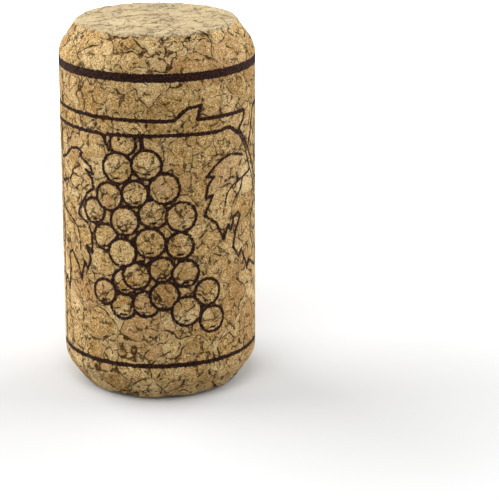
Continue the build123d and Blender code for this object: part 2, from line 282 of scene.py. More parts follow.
    def small_leaf(self) -> List[Stroke]:
        """Vine leaf at the left, cut off by the border line."""
        edge = [
            (-14.8, 28.2), (-13.3, 28.65), (-11.8, 29.9), (-10.4, 30.2), (-9.5, 29.8), (-10.0, 29.4),
            (-8.2, 28.4), (-7.75, 27.6), (-9.0, 27.9), (-8.0, 27.0), (-7.75, 25.9), (-8.8, 25.1),
            (-9.4, 24.2), (-10.4, 22.7), (-10.5, 22.2), (-8.8, 21.5), (-8.15, 20.2), (-8.15, 18.1),
            (-9.1, 18.8), (-8.45, 17.2), (-9.0, 15.9), (-9.5, 16.6), (-10.2, 14.4), (-10.7, 15.9),
            (-12.1, 17.4), (-13.0, 16.9), (-12.7, 15.0), (-13.3, 12.4), (-14.0, 13.8), (-14.8, 12.9),
        ]
        soft = [
            ([(-14.8, 25.3), (-12.2, 26.2), (-11.4, 27.4), (-10.0, 28.2)], 0.8),
            ([(-11.7, 26.9), (-10.6, 26.9), (-9.0, 26.4)], 0.6),
            ([(-12.2, 25.9), (-11.5, 25.35), (-10.5, 25.2)], 0.6),
            ([(-14.8, 22.2), (-12.0, 21.3), (-10.6, 20.2), (-10.15, 17.9)], 0.8),
        ]
        return [Stroke(edge, Pen.LEAF, soft=False)] + [
            Stroke(points, Pen.VEIN, thin_to=share) for points, share in soft
        ]

    def gap(self, places: np.ndarray) -> np.ndarray:
        """Distance from each place to the nearest ink, negative inside it.

        Args:
            places: one row for each place, x, y and z in millimetres.

        Returns:
            Millimetres to the edge of the nearest pen line, at most FAR.
        """
        round_side = np.arctan2(places[:, 0], -places[:, 1]) * SIDE_RADIUS
        across = self.left + (round_side - self.left_edge) / self.across_scale
        up = places[:, 2]
        nearest = np.full(len(places), FAR)
        for low, high in (self.top_ring, self.bottom_ring):
            nearest = np.minimum(nearest, np.abs(up - (low + high) / 2) - (high - low) / 2)
        for stroke in self.strokes():
            points = stroke.run()
            half = stroke.pen.value / 2
            count = len(points) - 1
            for index in range(count):
                start, end = points[index], points[index + 1]
                dx, dy = end[0] - start[0], end[1] - start[1]
                share = ((across - start[0]) * dx + (up - start[1]) * dy) / (dx * dx + dy * dy)
                share = np.clip(share, 0, 1)
                away = np.hypot(across - start[0] - share * dx, up - start[1] - share * dy)
                along = (index + share) / count
                nearest = np.minimum(nearest, away - half * (1 + (stroke.thin_to - 1) * along))
        return np.minimum(nearest, self.bunch_gap(across, up))

    def bunch_gap(self, across: np.ndarray, up: np.ndarray) -> np.ndarray:
        """Distance to the outlines of the grapes, where each hides those behind it.

        Args:
            across: sheet distances across in millimetres.
            up: sheet heights in millimetres.

        Returns:
            Millimetres to the nearest grape outline or dash.
        """
        half = Pen.GRAPE.value / 2
        nearest = np.full(len(across), FAR)
        shown = np.full(len(across), FAR)
        for grape in self.grapes:
            away = np.hypot(across - grape.across, up - grape.up)
            line = np.abs(away - grape.radius) - half
            dash_up = grape.up - self.dash_drop * grape.radius
            beside = np.maximum(np.abs(across - grape.across) - grape.dash / 2, 0)
            bend = self.dash_bend * (across - grape.across) ** 2
            dash = np.hypot(beside, up - dash_up - bend) - Pen.DASH.value / 2
            nearest = np.minimum(nearest, np.maximum(np.minimum(line, dash), -shown))
            shown = np.minimum(shown, away - grape.radius)
        knot_away = np.hypot(across - self.knot.across, up - self.knot.up)
        knot_line = np.abs(knot_away - self.knot.radius) - half
        below_branch = up - self.branch_foot
        return np.minimum(nearest, np.maximum(np.maximum(knot_line, -shown), below_branch))


@dataclass(frozen=True)
class Hollow:
    """Place where a granule broke out of a ground end.

    The turn is in degrees from the front. The reach is 0 in the middle of the end face, 1 at
    its rim and 2 at the foot of the chamfer. Width and depth are in millimetres.
    """

    turn: float
    reach: float
    width: float
    depth: float


@dataclass(frozen=True)
class Depth:
    """How deep an unevenness goes, in millimetres, on the moulded side and at the ground ends."""

    side: float
    end: float


@dataclass(frozen=True)
class CorkFinish:
    """Granulated cork, moulded with a clear binder and ground to size, with printing ink.

    Cork granules of 1 to 4 mm show their cut cells: matt, tan to golden brown, each a little
    different, with crisp dark cracks and small pits between them and brown skin beside the
    cracks. The ink is nearly black and lies in the surface.
    """

    pale: str = "#dec99c"
    light: str = "#c8a870"
    middle: str = "#ab854c"
    deep: str = "#84602a"
    skin: str = "#80591b"
    rust: str = "#a06f4a"
    # pale grey-beige of the end faces, partly dust and partly painted light and sheen
    dust_and_sheen: str = "#b5ac91"
    seam: str = "#372108"
    pit: str = "#24140a"
    ink: str = "#190906"
    ink_worn: str = "#744530"
    roughness: float = 0.85
    gloss: float = 0.1
    # large granules are about 3.4 mm across, small ones about 1.1 mm
    granules_per_mm: float = 0.295
    small_per_mm: float = 0.9
    # share of the granules at the ends whose place is taken by a nest of small ones
    nests_at_end: float = 0.2
    # millimetres from a seam to where its groove and its pits end
    groove_reach: float = 0.4
    step_depth: Depth = Depth(0.04, 0.1)
    groove_depth: Depth = Depth(0.04, 0.1)
    pit_depth: Depth = Depth(0.14, 0.3)
    swell_depth: float = 0.06
    ragged_depth: float = 0.07
    cell_depth: float = 0.3
    crack_share: float = 0.92
    dusty_crack_share: float = 0.5
    dust_and_sheen_share: float = 0.5
    # painted highlight along the edges of the cracks
    painted_highlight_share: float = 0.3
    # painted shade in the hollows, as a share of their depth
    painted_hollow_shade: float = 0.25

    def zones(self, tree: Tree, ground: Socket) -> Tuple[Socket, Socket]:
        """Where the cork is ground: its chamfers and end faces. The side is moulded.

        Args:
            tree: tree that the nodes are added to.
            ground: place on the cork in millimetres, before any relief.

        Returns:
            Share of the chamfers and end faces, and share of the flat end faces alone.
        """
        half = LENGTH / 2
        foot = half - CHAMFER_ALONG
        height = add(tree, "ShaderNodeSeparateXYZ", Vector=ground)
        from_middle = add(tree, "ShaderNodeMath", {"operation": "SUBTRACT"}, _0=height.outputs["Z"],
                          _1=half)
        reach = add(tree, "ShaderNodeMath", {"operation": "ABSOLUTE"}, _0=from_middle.outputs[0])
        end = add(tree, "ShaderNodeMapRange", SMOOTH, Value=reach.outputs[0], From_Min=foot - 0.7,
                  From_Max=foot + 0.4)
        face = add(tree, "ShaderNodeMapRange", SMOOTH, Value=reach.outputs[0], From_Min=half - 0.4,
                   From_Max=half - 0.1)
        return end.outputs[0], face.outputs[0]

    def crooked(self, tree: Tree, ground: Socket) -> Socket:
        """Places pushed about by noise 2.5 and 0.6 mm wide, so that granules are crooked.

        Args:
            tree: tree that the nodes are added to.
            ground: place on the cork in millimetres, before any relief.

        Returns:
            The pushed place in millimetres.
        """
        place = ground
        for scale, detail, rough, push in ((0.4, 1.0, 0.5, 2.6), (1.7, 3.0, 0.65, 0.55)):
            wave = add(tree, "ShaderNodeTexNoise", Vector=ground, Scale=scale, Detail=detail,
                       Roughness=rough)
            place = add(tree, "ShaderNodeVectorMath", TIMES_PLUS, _0=wave.outputs["Color"],
                        _1=(push, push, push), _2=place).outputs[0]
        return place

    def cells(self, tree: Tree, place: Socket, per_mm: float) -> Tuple[Socket, Socket]:
        """Granules of one size.

        Args:
            tree: tree that the nodes are added to.
            place: pushed place in millimetres.
            per_mm: granules for each millimetre.

        Returns:
            Random colour of each granule, and millimetres to its edge.
        """
        cell = add(tree, "ShaderNodeTexVoronoi", {"feature": "F1"}, Vector=place, Scale=per_mm)
        edge = add(tree, "ShaderNodeTexVoronoi", {"feature": "DISTANCE_TO_EDGE"}, Vector=place,
                   Scale=per_mm)
        away = add(tree, "ShaderNodeMath", {"operation": "DIVIDE"}, _0=edge.outputs["Distance"],
                   _1=per_mm)
        return cell.outputs["Color"], away.outputs[0]

    def granules(self, tree: Tree, ground: Socket, hollow: Socket) -> Sockets:
        """Pattern of granules, the same for the relief and for the colour.

        Args:
            tree: tree that the nodes are added to.
            ground: place on the cork in millimetres, before any relief.
            hollow: share of a hollow's depth at this place.

        Returns:
            Sockets: "tint" random colour of each granule, "seam" distance in millimetres to the
            edge of the granule, "pit" strength of pits, "nest" share of small granules, "ragged"
            noise 0.8 mm wide, "end" share of the chamfers and end faces and "face" share of the
            flat end faces alone.
        """
        end, face = self.zones(tree, ground)
        place = self.crooked(tree, ground)
        large_tint, large_seam = self.cells(tree, place, self.granules_per_mm)
        small_tint, small_seam = self.cells(tree, place, self.small_per_mm)
        # nests of small granules lie in the hollows and here and there at the ends
        chance = add(tree, "ShaderNodeSeparateXYZ", Vector=large_tint)
        end_chance = add(tree, "ShaderNodeMath", TIMES_PLUS, _0=end, _1=self.nests_at_end,
                         _2=chance.outputs["Y"])
        nest_cell = add(tree, "ShaderNodeMapRange", Value=end_chance.outputs[0], From_Min=1.0,
                        From_Max=1.01)
        nest_hollow = add(tree, "ShaderNodeMapRange", Value=hollow, From_Min=0.3, From_Max=0.9)
        nest = add(tree, "ShaderNodeMath", HIGHER, _0=nest_cell.outputs[0], _1=nest_hollow.outputs[0])
        # outside the nests the seams of small granules are moved 3 mm away
        far = add(tree, "ShaderNodeMapRange", Value=nest.outputs[0], To_Min=3.0, To_Max=0.0)
        small_here = add(tree, "ShaderNodeMath", PLUS, _0=small_seam, _1=far.outputs[0])
        seam = add(tree, "ShaderNodeMath", {"operation": "MINIMUM"}, _0=large_seam,
                   _1=small_here.outputs[0])
        tint = add(tree, "ShaderNodeMix", COLOURS, _0=nest.outputs[0], _6=large_tint, _7=small_tint)
        pattern = {"tint": tint.outputs[2], "seam": seam.outputs[0], "nest": nest.outputs[0],
                   "end": end, "face": face}
        pattern.update(self.pits(tree, ground, pattern))
        return pattern

    def pits(self, tree: Tree, ground: Socket, pattern: Sockets) -> Sockets:
        """Gaps between granules, 0.2 to 0.7 mm wide, most of them in nests and at the ends.

        Args:
            tree: tree that the nodes are added to.
            ground: place on the cork in millimetres, before any relief.
            pattern: sockets "seam", "nest" and "end" of the granules.

        Returns:
            Sockets: "pit" strength of the pits and "ragged" noise 0.8 mm wide.
        """
        more_pits = 0.045
        ragged = add(tree, "ShaderNodeTexNoise", Vector=ground, Scale=1.3, Detail=4.0, Roughness=0.7)
        in_nest = add(tree, "ShaderNodeMath", TIMES_PLUS, _0=pattern["nest"], _1=more_pits,
                      _2=ragged.outputs[0])
        at_end = add(tree, "ShaderNodeMath", TIMES_PLUS, _0=pattern["end"], _1=more_pits,
                     _2=in_nest.outputs[0])
        near_seam = add(tree, "ShaderNodeMapRange", Value=pattern["seam"], From_Max=self.groove_reach,
                        To_Min=0.035, To_Max=-0.1)
        at_seam = add(tree, "ShaderNodeMath", PLUS, _0=at_end.outputs[0], _1=near_seam.outputs[0])
        pit = add(tree, "ShaderNodeMapRange", Value=at_seam.outputs[0], From_Min=0.725, From_Max=0.75)
        return {"pit": pit.outputs[0], "ragged": ragged.outputs[0]}

    def relief(self) -> Tree:
        """Geometry nodes that sink seams, pits and granules below the ground surface."""
        tree = bpy.data.node_groups.new("cork_relief", "GeometryNodeTree")
        tree.interface.new_socket("Geometry", in_out="INPUT", socket_type="NodeSocketGeometry")
        tree.interface.new_socket("Geometry", in_out="OUTPUT", socket_type="NodeSocketGeometry")
        source = add(tree, "NodeGroupInput")
        target = add(tree, "NodeGroupOutput")
        place = add(tree, "GeometryNodeInputNamedAttribute", {"data_type": "FLOAT_VECTOR"},
                    Name="ground")
        sunk = add(tree, "GeometryNodeInputNamedAttribute", {"data_type": "FLOAT"}, Name="hollow")
        ground = place.outputs[0]
        pattern = self.granules(tree, ground, sunk.outputs[0])
        # each granule lies at its own height, and its edges fall off into the seams
        height = add(tree, "ShaderNodeSeparateXYZ", Vector=pattern["tint"])
        groove = add(tree, "ShaderNodeMapRange", SMOOTH, Value=pattern["seam"],
                     From_Max=self.groove_reach, To_Min=1.0, To_Max=0.0)
        swell = add(tree, "ShaderNodeTexNoise", Vector=ground, Scale=0.12, Detail=1.0)
        swollen = add(tree, "ShaderNodeMath", TIMES, _0=swell.outputs[0], _1=self.swell_depth)
        low = add(tree, "ShaderNodeMath", TIMES_PLUS, _0=pattern["ragged"], _1=self.ragged_depth,
                  _2=swollen.outputs[0]).outputs[0]
        for strength, depth in ((height.outputs["X"], self.step_depth),
                                (groove.outputs[0], self.groove_depth),
                                (pattern["pit"], self.pit_depth)):
            deepest = add(tree, "ShaderNodeMapRange", Value=pattern["end"], To_Min=depth.side,
                          To_Max=depth.end)
            low = add(tree, "ShaderNodeMath", TIMES_PLUS, _0=strength, _1=deepest.outputs[0],
                      _2=low).outputs[0]
        inwards = add(tree, "ShaderNodeMath", TIMES, _0=low, _1=-MM)
        normal = add(tree, "GeometryNodeInputNormal")
        offset = add(tree, "ShaderNodeVectorMath", {"operation": "SCALE"}, _0=normal.outputs[0],
                     Scale=inwards.outputs[0])
        moved = add(tree, "GeometryNodeSetPosition", Geometry=source.outputs[0],
                    Offset=offset.outputs[0])
        tree.links.new(moved.outputs[0], target.inputs[0])
        return tree

    def grain(self, tree: Tree, ground: Socket, pattern: Sockets) -> Sockets:
        """Colour of the cut cork inside each granule.

        Args:
            tree: the material's tree.
            ground: place on the cork in millimetres.
            pattern: sockets of the granules.

        Returns:
            Sockets: "colour", "mottle" noise 0.35 mm wide and "speckle" noise 0.14 mm wide.
        """
        apart = add(tree, "ShaderNodeSeparateXYZ", Vector=pattern["tint"])
        mottle = add(tree, "ShaderNodeTexNoise", Vector=ground, Scale=2.9, Detail=4.0, Roughness=0.75)
        speckle = add(tree, "ShaderNodeTexNoise", Vector=ground, Scale=7.0, Detail=2.0, Roughness=0.7)
        cloud = add(tree, "ShaderNodeTexNoise", Vector=ground, Scale=0.3, Detail=2.0)
        # growth streaks inside a granule, 0.3 mm apart, turned differently in each granule
        turned = add(tree, "ShaderNodeVectorRotate", {"rotation_type": "EULER_XYZ"}, Vector=ground,
                     Rotation=pattern["tint"])
        drawn_out = add(tree, "ShaderNodeVectorMath", TIMES, _0=turned.outputs[0], _1=(3.2, 0.8, 0.8))
        streak = add(tree, "ShaderNodeTexNoise", Vector=drawn_out.outputs[0], Scale=1.0, Detail=2.0,
                     Roughness=0.6)
        own_tone = 0.38
        tone = add(tree, "ShaderNodeMath", TIMES, _0=apart.outputs["Z"], _1=own_tone).outputs[0]
        for layer, share in ((mottle, 2.0), (speckle, 3.4), (cloud, 0.7), (streak, 0.6)):
            tone = add(tree, "ShaderNodeMath", TIMES_PLUS, _0=layer.outputs[0], _1=share,
                       _2=tone).outputs[0]
        spread = add(tree, "ShaderNodeMapRange", Value=tone, From_Min=3.02, From_Max=4.04)
        tan = add(tree, "ShaderNodeValToRGB", Fac=spread.outputs[0])
        ramp = tan.color_ramp
        ramp.elements[0].position = 0.0
        ramp.elements[0].color = linear(self.deep)
        ramp.elements[1].position = 1.0
        ramp.elements[1].color = linear(self.pale)
        for position, colour in ((0.36, self.middle), (0.68, self.light)):
            ramp.elements.new(position).color = linear(colour)
        # a few granules are reddish
        red = add(tree, "ShaderNodeMapRange", Value=apart.outputs["X"], From_Min=0.82, From_Max=0.9,
                  To_Max=0.3)
        reddish = add(tree, "ShaderNodeMix", COLOURS, _0=red.outputs[0], _6=tan.outputs["Color"],
                      _7=linear(self.rust))
        return {"colour": reddish.outputs[2], "mottle": mottle.outputs[0],
                "speckle": speckle.outputs[0]}

    def cracks(self, tree: Tree, ground: Socket, pattern: Sockets) -> Sockets:
        """Dark lines between and inside the granules.

        Args:
            tree: the material's tree.
            ground: place on the cork in millimetres.
            pattern: sockets of the granules.

        Returns:
            Sockets: "line" strength of the cracks, "skin" strength of the brown beside them and
            the painted highlight: strength of a pale band along each crack, where light catches its
                edge.
        """
        fade = add(tree, "ShaderNodeTexNoise", Vector=ground, Scale=0.9, Detail=3.0, Roughness=0.6)
        jag = add(tree, "ShaderNodeTexNoise", Vector=ground, Scale=4.5, Detail=2.0, Roughness=0.6)
        jagged = add(tree, "ShaderNodeMath", TIMES_PLUS, _0=jag.outputs[0], _1=0.08, _2=-0.04)
        between = add(tree, "ShaderNodeMath", PLUS, _0=pattern["seam"], _1=jagged.outputs[0])
        # cracks between granules are up to 0.2 mm wide, narrower in nests, and come and go
        width = add(tree, "ShaderNodeMapRange", Value=fade.outputs[0], From_Min=0.36, From_Max=0.66,
                    To_Min=-0.02, To_Max=0.08)
        at_end = add(tree, "ShaderNodeMath", TIMES_PLUS, _0=pattern["end"], _1=0.005,
                     _2=width.outputs[0])
        in_nest = add(tree, "ShaderNodeMath", TIMES_PLUS, _0=pattern["nest"], _1=-0.035,
                      _2=at_end.outputs[0])
        inside = add(tree, "ShaderNodeMath", {"operation": "SUBTRACT"}, _0=between.outputs[0],
                     _1=in_nest.outputs[0])
        edge = add(tree, "ShaderNodeMapRange", Value=inside.outputs[0], From_Min=-0.01, From_Max=0.04,
                   To_Min=1.0, To_Max=0.0)
        darkness = add(tree, "ShaderNodeMapRange", Value=fade.outputs[0], From_Min=0.42, From_Max=0.6,
                       To_Min=0.6)
        line = add(tree, "ShaderNodeMath", TIMES, _0=edge.outputs[0], _1=darkness.outputs[0])
        both = add(tree, "ShaderNodeMath", HIGHER, _0=line.outputs[0],
                   _1=self.fine_cracks(tree, ground, fade.outputs["Color"], pattern["ragged"]))
        # painted highlight: a pale band 0.04 to 0.24 mm beside each crack stands in for light caught by
        # its edge
        painted_highlight_in = add(tree, "ShaderNodeMapRange", Value=inside.outputs[0], From_Min=0.04, From_Max=0.08)
        painted_highlight_out = add(tree, "ShaderNodeMapRange", Value=inside.outputs[0], From_Min=0.1, From_Max=0.24,
                      To_Min=1.0, To_Max=0.0)
        painted_highlight = add(tree, "ShaderNodeMath", TIMES, _0=painted_highlight_in.outputs[0], _1=painted_highlight_out.outputs[0])
        return {"line": both.outputs[0], "painted_highlight": painted_highlight.outputs[0],
                "skin": self.skin_share(tree, between.outputs[0], fade.outputs[0], pattern)}

    def fine_cracks(self, tree: Tree, ground: Socket, push: Socket, ragged: Socket) -> Socket:
        """Hair cracks that run through some of the granules.

        Args:
            tree: the material's tree.
            ground: place on the cork in millimetres.
            push: colour noise that bends the cracks.
            ragged: noise that says where they are.

        Returns:
            Strength of the hair cracks.
        """
        bend = 1.5
        bent = add(tree, "ShaderNodeVectorMath", TIMES_PLUS, _0=push, _1=(bend, bend, bend), _2=ground)
        split = add(tree, "ShaderNodeTexVoronoi", {"feature": "DISTANCE_TO_EDGE"},
                    Vector=bent.outputs[0], Scale=0.5)
        here = add(tree, "ShaderNodeMapRange", Value=ragged, From_Min=0.45, From_Max=0.58, To_Min=-0.02,
                   To_Max=0.04)
        thin = add(tree, "ShaderNodeMath", {"operation": "SUBTRACT"}, _0=split.outputs["Distance"],
                   _1=here.outputs[0])
        line = add(tree, "ShaderNodeMapRange", Value=thin.outputs[0], From_Min=-0.01, From_Max=0.025,
                   To_Min=0.9, To_Max=0.0)
        return line.outputs[0]

    def skin_share(self, tree: Tree, between: Socket, fade: Socket, pattern: Sockets) -> Socket:
        """Brown skin beside the seams, in patches, and little of it on small granules.

        Args:
            tree: the material's tree.
            between: millimetres to the jagged seam.
            fade: noise that says how much skin is left.
            pattern: sockets of the granules.

        Returns:
            Strength of the skin.
        """
        near = add(tree, "ShaderNodeMapRange", SMOOTH, Value=between, From_Max=0.55, To_Min=1.0,
                   To_Max=0.0)
        patchy = add(tree, "ShaderNodeMapRange", Value=fade, From_Min=0.38, From_Max=0.62, To_Min=0.15,
                     To_Max=1.0)
        in_nest = add(tree, "ShaderNodeMapRange", Value=pattern["end"], To_Max=0.3)
        large_only = add(tree, "ShaderNodeMapRange", Value=pattern["nest"], To_Min=1.0,
                         To_Max=in_nest.outputs[0])
        beside = add(tree, "ShaderNodeMath", TIMES, _0=near.outputs[0], _1=large_only.outputs[0])
        skin = add(tree, "ShaderNodeMath", TIMES, _0=beside.outputs[0], _1=patchy.outputs[0])
        return skin.outputs[0]

    def bare_colour(self, tree: Tree, hollow: Socket, pattern: Sockets, grain: Sockets,
                    cracks: Sockets) -> Socket:
        """Colour of the cork without its print.

        Args:
            tree: the material's tree.
            hollow: share of a hollow's depth at this place.
            pattern: sockets of the granules.
            grain: sockets of the cut cork.
            cracks: sockets of the cracks.

        Returns:
            The colour.
        """
        # painted highlight: a pale band along the cracks
        painted_highlight = add(tree, "ShaderNodeMath", TIMES, _0=cracks["painted_highlight"], _1=self.painted_highlight_share)
        # the flat end faces are ground last: fine dust half fills their cracks. Their pale colour is
        # partly that dust and partly painted light and sheen, as on a face lit from above
        dust_and_sheen_mix = add(tree, "ShaderNodeMath", TIMES, _0=pattern["face"], _1=self.dust_and_sheen_share)
        # painted shade: each hollow is darkened towards the brown of the skin by its depth, as shade
        # would darken it
        painted_shade = add(tree, "ShaderNodeMath", TIMES, _0=hollow, _1=self.painted_hollow_shade)
        crack_share = add(tree, "ShaderNodeMapRange", Value=pattern["face"], To_Min=self.crack_share,
                          To_Max=self.dusty_crack_share)
        crack = add(tree, "ShaderNodeMath", TIMES, _0=cracks["line"], _1=crack_share.outputs[0])
        colour = grain["colour"]
        for share, laid_over in ((cracks["skin"], self.skin), (painted_highlight.outputs[0], self.pale),
                                 (dust_and_sheen_mix.outputs[0], self.dust_and_sheen), (painted_shade.outputs[0], self.skin),
                                 (crack.outputs[0], self.seam), (pattern["pit"], self.pit)):
            colour = add(tree, "ShaderNodeMix", COLOURS, _0=share, _6=colour,
                         _7=linear(laid_over)).outputs[2]
        return colour

    def printed(self, tree: Tree, ground: Socket, speckle: Socket, bare: Socket) -> Socket:
        """Colour with the ink, which bleeds and breaks by 0.1 mm at its edges and is worn in specks.

        Args:
            tree: the material's tree.
            ground: place on the cork in millimetres.
            speckle: noise that says where the ink is worn.
            bare: colour of the cork without its print.

        Returns:
            The colour.
        """
        gap = add(tree, "ShaderNodeAttribute", {"attribute_name": "ink_gap"}).outputs["Fac"]
        bleed = add(tree, "ShaderNodeTexNoise", Vector=ground, Scale=2.2, Detail=3.0, Roughness=0.65)
        bled = add(tree, "ShaderNodeMath", TIMES_PLUS, _0=bleed.outputs[0], _1=0.4, _2=-0.21)
        ragged_gap = add(tree, "ShaderNodeMath", PLUS, _0=gap, _1=bled.outputs[0])
        inked = add(tree, "ShaderNodeMapRange", Value=ragged_gap.outputs[0], From_Min=-0.05,
                    From_Max=0.04, To_Min=1.0, To_Max=0.0)
        wear = add(tree, "ShaderNodeMapRange", Value=speckle, From_Min=0.52, From_Max=0.76)
        ink = add(tree, "ShaderNodeMix", COLOURS, _0=wear.outputs[0], _6=linear(self.ink),
                  _7=linear(self.ink_worn))
        return add(tree, "ShaderNodeMix", COLOURS, _0=inked.outputs[0], _6=bare,
                   _7=ink.outputs[2]).outputs[2]

    def material(self) -> bpy.types.Material:
        """Granulated cork with the drawing printed on it."""
        material = bpy.data.materials.new("granulated_cork_printed")
        material.use_nodes = True
        tree = material.node_tree
        tree.nodes.clear()
        ground = add(tree, "ShaderNodeAttribute", {"attribute_name": "ground"}).outputs["Vector"]
        hollow = add(tree, "ShaderNodeAttribute", {"attribute_name": "hollow"}).outputs["Fac"]
        pattern = self.granules(tree, ground, hollow)
        grain = self.grain(tree, ground, pattern)
        cracks = self.cracks(tree, ground, pattern)
        bare = self.bare_colour(tree, hollow, pattern, grain, cracks)
        colour = self.printed(tree, ground, grain["speckle"], bare)
        # fine roughness of cut cork cells, and the edges of cracks and pits
        sunk = add(tree, "ShaderNodeMath", HIGHER, _0=cracks["line"], _1=pattern["pit"])
        rise = add(tree, "ShaderNodeMath", TIMES_PLUS, _0=sunk.outputs[0], _1=-0.8, _2=grain["mottle"])
        rough_rise = add(tree, "ShaderNodeMath", TIMES_PLUS, _0=grain["speckle"], _1=0.6,
                         _2=rise.outputs[0])
        bump = add(tree, "ShaderNodeBump", Height=rough_rise.outputs[0], Strength=1.0,
                   Distance=self.cell_depth * MM)
        shader = add(tree, "ShaderNodeBsdfPrincipled", Base_Color=colour, Roughness=self.roughness,
                     Normal=bump.outputs[0])
        shader.inputs["Specular IOR Level"].default_value = self.gloss
        output = add(tree, "ShaderNodeOutputMaterial")
        tree.links.new(shader.outputs[0], output.inputs["Surface"])
        return material


@dataclass
class Cork:
    """The cork: a moulded stick cut to length, with a wide chamfer ground on each end."""

    # the relief sinks the surface by 0.05 mm or more, so it starts a little proud
    radius: float = SIDE_RADIUS + 0.065
    rim_round: float = 0.45
    shoulder_round: float = 1.0
    round_steps: int = 4
    around: int = 320
    spacing: float = 0.23
    # vertices closer than this are one
    merge_gap: float = 0.0005
    # the print reaches this far inside the side's own radius
    print_margin: float = 0.05
    finish: CorkFinish = field(default_factory=CorkFinish)
    drawing: VinePrint = field(default_factory=VinePrint)
    hollow_flatness: float = 0.75
    hollow_floor: float = 0.1
    hollow_crooked: float = 0.15
    crumbled: float = 0.8
    lower_end_turn: float = 140.0
    hollows: List[Hollow] = field(default_factory=lambda: [
        Hollow(-153, 0.79, 1.5, 0.35), Hollow(-169, 0.47, 1.1, 0.25), Hollow(-56, 0.88, 1.6, 0.3),
        Hollow(-88, 0.67, 1.4, 0.25), Hollow(-112, 0.81, 1.3, 0.25), Hollow(56, 0.81, 1.4, 0.25),
        Hollow(-26, 0.66, 1.2, 0.2), Hollow(120, 0.74, 1.3, 0.25), Hollow(-41, 1.78, 1.6, 0.35),
        Hollow(-7, 1.12, 1.1, 0.35), Hollow(3, 1.6, 1.8, 0.3), Hollow(35, 1.12, 1.3, 0.35),
        Hollow(53, 1.59, 1.6, 0.35), Hollow(100, 1.45, 1.5, 0.3), Hollow(150, 1.72, 1.4, 0.3),
        Hollow(204, 1.2, 1.4, 0.35), Hollow(262, 1.62, 1.6, 0.3),
    ])

    def profile(self) -> List[Vector]:
        """Half section from the middle of the lower end to the middle of the upper one."""
        slope = Vector((CHAMFER_IN, 0, CHAMFER_ALONG)).normalized()
        rim = Vector((self.radius - CHAMFER_IN, 0, 0))
        shoulder = Vector((self.radius, 0, CHAMFER_ALONG))
        half = [Vector((0, 0, 0))]
        half += self.rounded(rim, Vector((1, 0, 0)), slope, self.rim_round)
        half += self.rounded(shoulder, slope, Vector((0, 0, 1)), self.shoulder_round)
        other = [Vector((point.x, 0, LENGTH - point.z)) for point in reversed(half)]
        return half + other

    def rounded(self, corner: Vector, into: Vector, out: Vector, reach: float) -> List[Vector]:
        """Points that round a corner of the section.

        Args:
            corner: the sharp corner.
            into: direction in which the section reaches it.
            out: direction in which the section leaves it.
            reach: how far before and after the corner the rounding starts and ends.

        Returns:
            Points on the curve, one more than there are steps.
        """
        start = corner - into * reach
        end = corner + out * reach
        points = []
        for step in range(self.round_steps + 1):
            t = step / self.round_steps
            points.append(start * (1 - t) ** 2 + corner * 2 * t * (1 - t) + end * t ** 2)
        return points

    def mesh(self) -> bpy.types.Mesh:
        """Closed mesh of even small faces, spun from the half section."""
        shape = bmesh.new()
        corners = [shape.verts.new(point * MM) for point in self.profile()]
        lines = [shape.edges.new(pair) for pair in zip(corners, corners[1:])]
        for line in lines:
            cuts = int(line.calc_length() / (self.spacing * MM))
            if cuts > 0:
                bmesh.ops.subdivide_edges(shape, edges=[line], cuts=cuts)
        bmesh.ops.spin(shape, geom=shape.verts[:] + shape.edges[:], cent=(0, 0, 0),
                       axis=(0, 0, 1), dvec=(0, 0, 0), angle=math.tau, steps=self.around,
                       use_merge=True, use_normal_flip=False, use_duplicate=False)
        bmesh.ops.remove_doubles(shape, verts=shape.verts[:], dist=self.merge_gap * MM)
        bmesh.ops.recalc_face_normals(shape, faces=shape.faces[:])
        for face in shape.faces:
            face.smooth = True
        mesh = bpy.data.meshes.new("cork")
        shape.to_mesh(mesh)
        shape.free()
        return mesh

    def seat(self, hollow: Hollow, side: int, turn: float) -> Tuple[np.ndarray, np.ndarray, np.ndarray]:
        """Where a hollow lies.

        Args:
            hollow: the hollow.
            side: 1 for the upper end, -1 for the lower one.
            turn: its turn from the front in radians.

        Returns:
            Its centre in millimetres, the direction that the surface faces there, and the
            direction round the cork.
        """
        drop = max(hollow.reach - 1, 0)
        outwards = np.array((math.sin(turn), -math.cos(turn), 0.0))
        sideways = np.array((math.cos(turn), math.sin(turn), 0.0))
        on_face = (self.radius - CHAMFER_IN) * min(hollow.reach, 1)
        centre = outwards * (on_face + CHAMFER_IN * drop)
        centre[2] = LENGTH / 2 + side * (LENGTH / 2 - CHAMFER_ALONG * drop)
        facing = outwards * (CHAMFER_ALONG if drop > 0 else 0.0)
        facing[2] = side * CHAMFER_IN
        facing /= np.linalg.norm(facing)
        return centre, facing, sideways

    def hollow_depths(self, places: np.ndarray) -> Tuple[np.ndarray, np.ndarray]:
        """How the hollows of both ends move the surface.

        Args:
            places: one row for each place on the surface, in millimetres.

        Returns:
            The shift of each place in millimetres, and its depth as a share of the hollow's own.
        """
        shift = np.zeros_like(places)
        share = np.zeros(len(places))
        # crumbs at the edge of a hollow are 0.8 and 0.3 mm wide
        crumbs = np.array([
            noise.noise(Vector(place) * 1.3) + 0.6 * noise.noise(Vector(place) * 3.1)
            for place in places
        ]) * self.crumbled
        for side, extra_turn in ((1, 0.0), (-1, self.lower_end_turn)):
            for hollow in self.hollows:
                turn = math.radians(hollow.turn + extra_turn)
                centre, facing, sideways = self.seat(hollow, side, turn)
                away = places - centre
                across = away @ sideways
                along = (away @ np.cross(facing, sideways)) / self.hollow_flatness
                angle = np.arctan2(along, across)
                edge = hollow.width / 2 * (1 + self.hollow_crooked * np.sin(2 * angle + turn))
                edge = edge * (1 + crumbs)
                inside = (1 - np.hypot(across, along) / edge) / (1 - self.hollow_floor)
                wall = np.clip(inside, 0, 1)
                wall = wall * wall * (3 - 2 * wall)
                near = np.linalg.norm(away, axis=1) < hollow.width
                wall = np.where(near, wall, 0)
                depth = np.maximum(hollow.depth * wall + np.minimum(away @ facing, 0), 0)
                depth = np.where(near, depth, 0)
                shift -= depth[:, None] * facing
                share = np.maximum(share, wall)
        return shift, share

